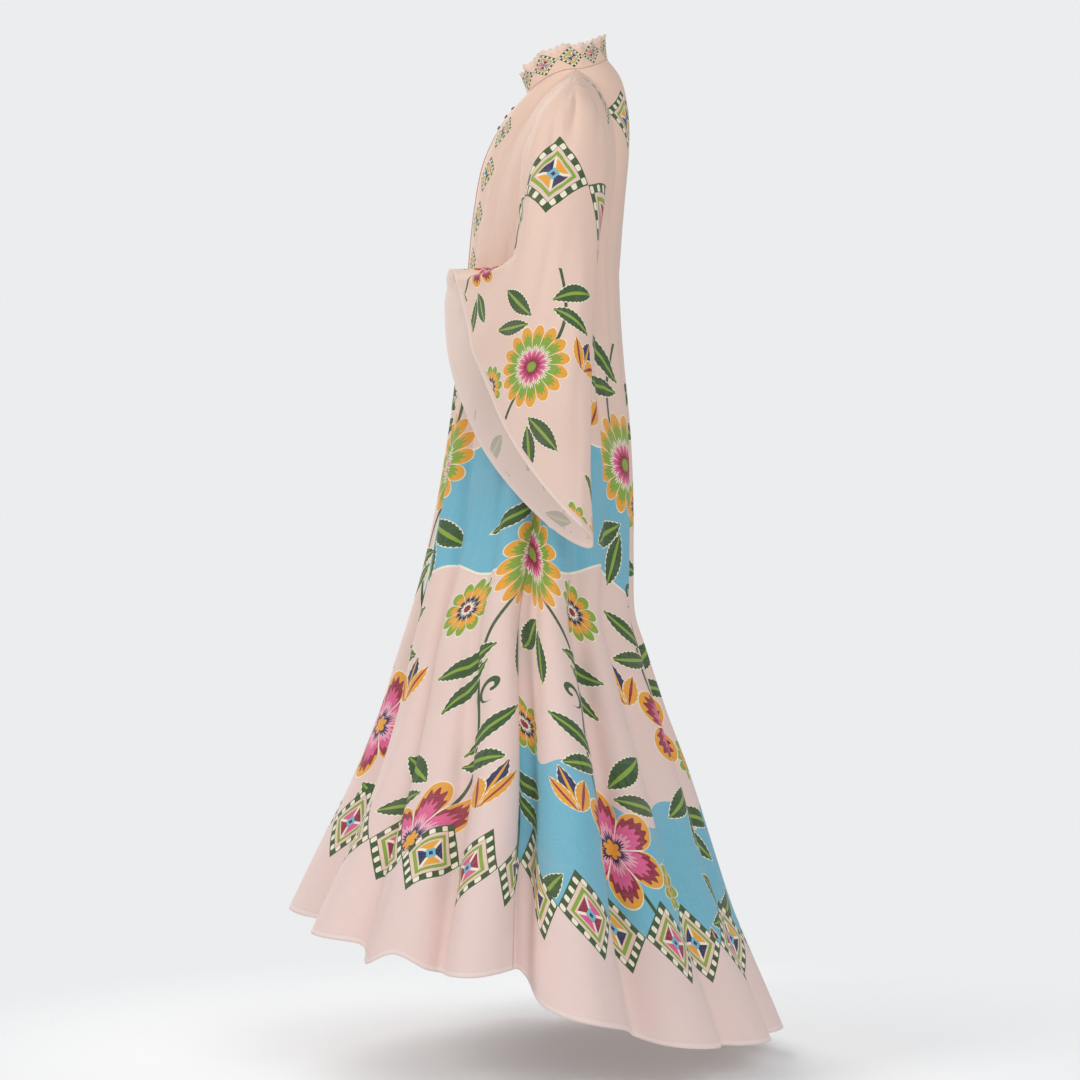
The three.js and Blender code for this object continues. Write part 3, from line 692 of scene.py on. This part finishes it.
def cloth_material(name, kind, faded=False):
    """kind is front, back, sleeve, band or plain, which have the print in different places."""
    material = bpy.data.materials.new(name)
    material.use_nodes = True
    tree = material.node_tree
    tree.nodes.clear()
    u, v = uv_values(tree, "cloth")
    hem, _ = uv_values(tree, "edges")
    wander = noise_value(tree, u, v, 5.0, 2.0, 11.0)
    fade = (v * 0.9).math("MINIMUM", 1.0)
    shade = painted(tree, PEACH, ROSE, fade)
    if kind in ("front", "back"):
        wave = (u * BLUE_WAVES).math("SINE") * BLUE_WAVE_HEIGHT + wander * BLUE_WANDER
        shade = painted(tree, shade, CREAM, hip_zone(u, v, wave, wander, CREAM_LINE))
        shade = painted(tree, shade, TURQUOISE, hip_zone(u, v, wave, wander, 0))
        if kind == "back":
            low = ((hem + wave) < BACK_BLUE_TOP) * (hem > BACK_BLUE_BOTTOM)
            shade = painted(tree, shade, TURQUOISE, low)
        shade = with_florals(tree, shade, u + 0.05, v - 0.02, BODY_FLORALS_TOP, hem > HEM_FLORALS_END)
        shade = painted(tree, shade, ROSE, hem < HEM_BAND)
        shade = with_lozenges(tree, shade, u, hem - HEM_BAND, *HEM_LOZENGES)
    if kind == "front":
        step = (v - CHEST_FIRST).math("FLOORED_MODULO", CHEST_STEP) - CHEST_STEP / 2
        aside = u.math("ABSOLUTE") - (CHEST_ASIDE - CHEST_PITCH / 2)
        near = (aside - CHEST_PITCH / 2).math("ABSOLUTE") < CHEST_PITCH / 2
        near = near * (v < CHEST_END) * (v > CHEST_START)
        marks = with_lozenges(tree, shade, aside, step, CHEST_PITCH, CHEST_HALF_HEIGHT)
        shade = painted(tree, shade, marks, near)
    if kind == "back":
        patch = (v < UPPER_BACK_END) * (v > UPPER_BACK_START) * (u.math("ABSOLUTE") < UPPER_BACK_HALF_WIDTH)
        marks = with_lozenges(tree, shade, u, v - UPPER_BACK, *UPPER_BACK_LOZENGES)
        shade = painted(tree, shade, marks, patch)
    if kind == "sleeve":
        print_u, print_v = u * SLEEVE_PRINT_SCALE + 0.10, v * SLEEVE_PRINT_SCALE - 0.01
        shade = with_florals(tree, shade, print_u, print_v, SLEEVE_FLORALS_TOP, hem > SLEEVE_EDGE)
        shade = with_lozenges(tree, shade, u + SLEEVE_LOZENGES[0] / 2, v - UPPER_SLEEVE, *SLEEVE_LOZENGES)
    if kind == "band":
        shade = with_lozenges(tree, shade, u, v - COLLAR_MIDDLE, *COLLAR_LOZENGES)
    linen_surface(tree, u, v, shade, hem, faded)
    return material


# Pieces of cloth
# Each piece is a fine grid on the form of its solid, pushed in and out by the creases, 0.8 mm thick.
# UV map "cloth" holds the flat cloth in metres, and "edges" the distances to the hem and to the side.
CLOTH_THICKNESS = 0.0008
SEAM_DEPTH, SEAM_WIDTH = 0.9, 1.6
# Metres of cloth from the shoulders to the foot of the body's upper part.
UPPER_RUN = 0.275


def cloth_object(name, points, turn, cloth_uv, edges_uv, materials, goes_round=False):
    """A mesh of a grid of points in millimetres, with its UV maps, thickness and materials."""
    rows, columns = points.shape[:2]
    shape = bmesh.new()
    bmesh.ops.create_grid(shape, x_segments=columns - 1, y_segments=rows - 1, size=0.5)
    shape.verts.ensure_lookup_table()
    flat = np.array([v.co[:2] for v in shape.verts]) + 0.5
    column = np.rint(flat[:, 0] * (columns - 1)).astype(int)
    row = np.rint(flat[:, 1] * (rows - 1)).astype(int)
    placed = points[row, column] * MM
    maps = [(shape.loops.layers.uv.new(label), values[row, column])
            for label, values in (("cloth", cloth_uv), ("edges", edges_uv))]
    for layer, values in maps:
        for face in shape.faces:
            for loop in face.loops:
                loop[layer].uv = values[loop.vert.index]
    for vertex, place in zip(shape.verts, placed):
        vertex.co = place
    if goes_round:
        bmesh.ops.remove_doubles(shape, verts=shape.verts, dist=1e-6)
    if turn < 0:
        bmesh.ops.reverse_faces(shape, faces=shape.faces)
    mesh = bpy.data.meshes.new(name)
    shape.to_mesh(mesh)
    shape.free()
    mesh.polygons.foreach_set("use_smooth", [True] * len(mesh.polygons))
    for material in materials:
        mesh.materials.append(material)
    piece = bpy.data.objects.new(name, mesh)
    bpy.context.scene.collection.objects.link(piece)
    solid = piece.modifiers.new("thickness", "SOLIDIFY")
    solid.thickness = CLOTH_THICKNESS
    solid.offset = -1
    solid.use_even_offset = False
    solid.material_offset = len(materials) - 1
    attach(piece, "root")
    return piece


def hem_rows(count):
    """Even shares from 0 to 1, with close rows at the end for the hem's fold."""
    return np.concatenate([np.linspace(0, 1, count)[:-1], [0.9935, 0.9965, 1.0]])


def body_grid(is_left, is_front, across, down):
    points, angle = body_point(is_left, is_front, across[None, :], down[:, None])
    return points, np.broadcast_to(angle, points.shape[:2])


def body_push(angle, level, down):
    """The creases' push on the body: none at the neck, and half at the hem."""
    fading = np.clip(down / 0.5, 0, 1) * (1 - 0.5 * np.clip((down - 1.85) / 0.15, 0, 1))
    return creased(BODY_CREASES, angle, -level) * fading


UPPER_ROWS, SKIRT_ROWS, HALF_COLUMNS = 60, 150, 110
DOWN = np.concatenate([np.linspace(0, 1, UPPER_ROWS, endpoint=False), 1 + hem_rows(SKIRT_ROWS)])


def body_piece(name, halves, kind):
    """A front, or the back's two halves in one piece."""
    shares = np.linspace(0, 1, HALF_COLUMNS + 1)
    grids = []
    for number, (is_left, is_front) in enumerate(halves):
        across = shares[:0:-1] if number == 0 and len(halves) > 1 else shares
        grids.append((*body_grid(is_left, is_front, across, DOWN), across * (-1 if not is_left else 1)))
    points = np.concatenate([g[0] for g in grids], axis=1)
    angle = np.concatenate([g[1] for g in grids], axis=1)
    across = np.concatenate([g[2] for g in grids])
    middle = int(np.argmin(np.abs(across)))
    first = grid_normals(points)
    probe = first[UPPER_ROWS + 5, middle]
    turn = 1 if probe[1] * (-1 if halves[0][1] else 1) > 0 else -1
    normal = first * turn
    push = body_push(angle, points[..., 2], DOWN[:, None])
    from_side = (1 - np.abs(across)) * np.abs(lengths_along(points, 1)[:, -1:]) / len(halves)
    push = push - SEAM_DEPTH * np.exp(-((from_side / SEAM_WIDTH) ** 2))
    points = points + normal * push[..., None]
    run = lengths_along(points, 1)
    u = (run - run[:, middle : middle + 1]) * MM
    fall = lengths_along(points, 0)
    v = (fall - fall[UPPER_ROWS : UPPER_ROWS + 1]) * MM + UPPER_RUN
    hem = (fall[-1:] - fall) * MM
    side = np.minimum(run, run[:, -1:] - run) * MM if len(halves) > 1 else (run[:, -1:] - run) * MM
    materials = [cloth_material(name + "_outside", kind), cloth_material(name + "_inside", kind, True)]
    cloth_uv, edges_uv = np.stack([u, v], axis=-1), np.stack([hem, side], axis=-1)
    piece = cloth_object(name + "_cloth", points, turn, cloth_uv, edges_uv, materials)
    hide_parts(name)
    return piece


front_left = body_piece("front_left", [(True, True)], "front")
front_right = body_piece("front_right", [(False, True)], "front")
back = body_piece("back", [(False, False), (True, False)], "back")

SLEEVE_ROWS, SLEEVE_COLUMNS = 130, 180
ARMHOLE_GAP, CALM_SHARE = 0.6, 0.12
# The gathers at the sleeve's head. The right sleeve has the left's creases at other angles.
HEAD_DEPTH, HEAD_GATHERS, HEAD_LENGTH, HEAD_SPREAD = 1.4, 9, 0.14, 75
RIGHT_SLEEVE_SHIFT = 37


def sleeve_piece(name, side):
    """A sleeve from the armhole to the bell's edge. Its seam runs down the inner line."""
    angle = np.linspace(180, -180, SLEEVE_COLUMNS + 1)[None, :]
    along = hem_rows(SLEEVE_ROWS)[:, None]
    angle, along = np.broadcast_arrays(angle, along)
    points = sleeve_point(angle, along)
    points[0, :, 0] += ARMHOLE_GAP
    normal = grid_normals(points)
    probe = normal[SLEEVE_ROWS // 2, SLEEVE_COLUMNS // 2]
    turn = 1 if probe[0] > 0 else -1
    calm = np.clip(along / CALM_SHARE, 0, 1)
    shift = 0 if side > 0 else RIGHT_SLEEVE_SHIFT
    push = creased(SLEEVE_CREASES, (angle + shift) % 360, along) * calm
    gathers = HEAD_DEPTH * np.sin(np.radians(angle * HEAD_GATHERS)) * (along > 0.004)
    head = gathers * np.clip(1 - along / HEAD_LENGTH, 0, 1) * bump(angle, HEAD_SPREAD)
    points = points + normal * turn * (push + head)[..., None]
    points[:, -1] = points[:, 0]
    run = lengths_along(points, 1)
    u = (run - run[:, SLEEVE_COLUMNS // 2][:, None]) * MM
    fall = lengths_along(points, 0)
    v = fall * MM
    hem = (fall[-1:] - fall) * MM
    points = points * [side, 1, 1]
    materials = [cloth_material(name + "_outside", "sleeve"), cloth_material(name + "_inside", "sleeve", True)]
    cloth_uv = np.stack([u, v], axis=-1)
    edges_uv = np.stack([hem, np.minimum(run, run[:, -1:] - run) * MM], axis=-1)
    piece = cloth_object(name + "_cloth", points, turn * side, cloth_uv, edges_uv, materials, True)
    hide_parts(name)
    return piece


sleeve_left = sleeve_piece("sleeve_left", 1)
sleeve_right = sleeve_piece("sleeve_right", -1)

# Collar, placket and buttons
# The stand collar rises from the neckline and ends in a small frill. The placket's strip lies over both fronts.
COLLAR_HEIGHT, COLLAR_FLARE, COLLAR_LEAN, COLLAR_FRILL, COLLAR_WAVES = 34, 2, -7, 3, 15
COLLAR_OPENING, COLLAR_DIP, COLLAR_GAP = 9, 5, 0.45
# The frill's rippled edge: where it starts, its length as a share of the height, and its ripples and scallops.
EDGE_START, EDGE_LENGTH, EDGE_RIPPLE, EDGE_SCALLOP, SCALLOPS = 0.72, 0.28, 1.1, 1.2, 46


def collar_point(angle, up):
    a = np.radians(angle)
    away = np.stack([np.sin(a), -np.cos(a), np.zeros_like(a)], axis=-1)
    wave = np.sin(COLLAR_WAVES * a + 1.2 * np.sin(3 * a))
    small = np.sin(2 * COLLAR_WAVES * a + 2.0 * np.sin(5 * a))
    frill = COLLAR_FRILL * up**2 * wave
    edge = np.clip((up - EDGE_START) / EDGE_LENGTH, 0, 1)
    rise = COLLAR_HEIGHT * up - COLLAR_DIP * up * bump(angle, 25) + 0.25 * frill
    point = neck_point(angle) + away * (COLLAR_FLARE * up**2 + frill + EDGE_RIPPLE * small * edge)[..., None]
    lift = rise + COLLAR_GAP + EDGE_SCALLOP * edge * np.sin(a * SCALLOPS)
    return point + np.stack([0 * a, COLLAR_LEAN * up, lift], axis=-1)


half_opening = COLLAR_OPENING / 2 / (NECK_HALF_WIDTH * math.pi / 180)
collar_angle, collar_up = np.broadcast_arrays(
    np.linspace(half_opening, 360 - half_opening, 420)[None, :], np.linspace(0, 1, 30)[:, None])
collar_points = collar_point(collar_angle, collar_up)
collar_run, collar_rise = lengths_along(collar_points, 1), lengths_along(collar_points, 0)
collar_uv = np.stack([np.radians(collar_angle) * 0.058, collar_rise * MM], axis=-1)
collar_edges = np.stack([(collar_rise[-1:] - collar_rise) * MM, collar_run * MM], axis=-1)
collar_turn = 1 if grid_normals(collar_points)[10, 105, 0] > 0 else -1
collar = cloth_object("collar_cloth", collar_points, collar_turn, collar_uv, collar_edges,
                      [cloth_material("collar_outside", "band")])
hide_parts("collar")

PLACKET_HALF_SHARE, PLACKET_LIFT, PLACKET_EDGE = 1 / 24, 1.45, 0.35
placket_down = np.concatenate([np.linspace(0.03, 1, 70, endpoint=False), np.linspace(1, 1 + 1 / 12, 8)])
placket_across = np.linspace(-PLACKET_HALF_SHARE, PLACKET_HALF_SHARE, 13)
placket_points, placket_angle = body_grid(True, True, placket_across, placket_down)
placket_normal = grid_normals(placket_points)
placket_turn = 1 if placket_normal[30, 6, 1] < 0 else -1
placket_push = body_push(placket_angle, placket_points[..., 2], placket_down[:, None])
edge_round = PLACKET_EDGE * (np.abs(placket_across) / PLACKET_HALF_SHARE) ** 6
placket_lift = placket_push + PLACKET_LIFT - edge_round[None, :]
placket_points = placket_points + placket_normal * placket_turn * placket_lift[..., None]
placket_run, placket_fall = lengths_along(placket_points, 1), lengths_along(placket_points, 0)
placket_side = np.minimum(placket_run, placket_run[:, -1:] - placket_run) * MM
placket_uv = np.stack([(placket_run - placket_run[:, 6:7]) * MM, placket_fall * MM], axis=-1)
placket_edges = np.stack([placket_side, placket_side], axis=-1)
placket = cloth_object("placket_cloth", placket_points, placket_turn, placket_uv, placket_edges,
                       [cloth_material("placket_outside", "plain")])
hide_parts("front_placket")

button_material = bpy.data.materials.new("button")
button_material.use_nodes = True
button_tree = button_material.node_tree
button_shader = button_tree.nodes["Principled BSDF"]
button_place = new_node(button_tree, "ShaderNodeTexCoord").outputs["Object"]
button_noise = new_node(button_tree, "ShaderNodeTexNoise", {"Vector": button_place, "Scale": 900.0})
button_tint = painted(button_tree, colour(40, 34, 44), colour(70, 58, 66), button_noise.outputs["Fac"])
button_tree.links.new(button_tint, button_shader.inputs["Base Color"])
button_shader.inputs["Roughness"].default_value = 0.42
for number in (1, 2, 3):
    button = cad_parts["button_%d" % number]
    for place in range(len(button.data.materials)):
        button.data.materials[place] = button_material

# Floor material
# The floor is plain and pale, and fades into the backdrop away from the dress.
floor_material = bpy.data.materials.new("floor")
floor_material.use_nodes = True
floor_shader = floor_material.node_tree.nodes["Principled BSDF"]
floor_shader.inputs["Base Color"].default_value = colour(240, 241, 242)
floor_shader.inputs["Roughness"].default_value = 0.9
floor_shader.inputs["Emission Color"].default_value = colour(236, 237, 238)
floor_shader.inputs["Emission Strength"].default_value = 0.12
floor_tree = floor_material.node_tree
floor_place = new_node(floor_tree, "ShaderNodeSeparateXYZ",
                       {"Vector": new_node(floor_tree, "ShaderNodeTexCoord").outputs["Object"]})
floor_x, floor_y = Value(floor_tree, floor_place.outputs["X"]), Value(floor_tree, floor_place.outputs["Y"])
floor_reach = (floor_x * floor_x + floor_y * floor_y).math("SQRT")
FLOOR_FULL, FLOOR_END = 0.4, 1.1
floor_fade = new_node(floor_tree, "ShaderNodeMapRange", {
    "Value": floor_reach, "From Min": FLOOR_FULL, "From Max": FLOOR_END, "To Min": 1.0, "To Max": 0.0,
}, interpolation_type="SMOOTHSTEP")
floor_mix = new_node(floor_tree, "ShaderNodeMixShader", {
    0: floor_fade.outputs[0], 1: new_node(floor_tree, "ShaderNodeBsdfTransparent").outputs[0],
    2: floor_shader.outputs[0],
})
floor_tree.links.new(floor_mix.outputs[0], floor_tree.nodes["Material Output"].inputs["Surface"])
floor_mesh.materials.append(floor_material)
